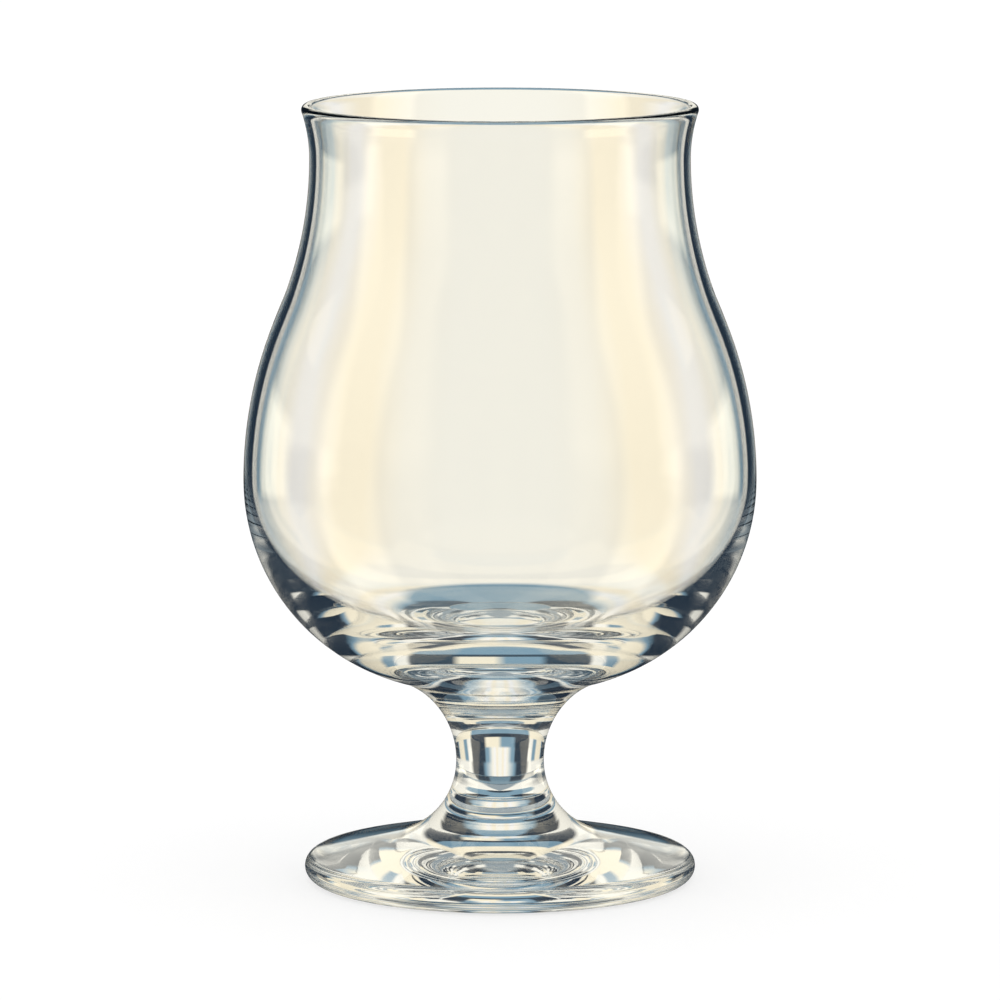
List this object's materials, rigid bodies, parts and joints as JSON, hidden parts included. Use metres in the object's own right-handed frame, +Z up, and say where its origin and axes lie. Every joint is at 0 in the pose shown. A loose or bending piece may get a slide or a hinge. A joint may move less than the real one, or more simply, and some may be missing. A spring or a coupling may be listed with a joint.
{
  "type": "tulip tasting glass",
  "caption": "Clear tulip tasting glass with a flared lip, round belly, thick base, short waisted stem and broad round foot, for pouring and tasting drinks.",
  "frame": {"origin": "on the glass's axis, at the level of the table that the foot stands on", "axes": "+Z up along the axis from the foot to the rim; X and Y are any two level directions, as the glass is turned"},
  "size_m": [0.092, 0.092, 0.14],
  "materials": {
    "bowl_glass": "clear, fire-polished",
    "stem_glass": "clear, smooth",
    "foot_glass": "clear, smooth"
  },
  "bodies": {
    "root": {"bowl": "bowl_glass", "stem": "stem_glass", "foot": "foot_glass"}
  },
  "joints": []
}
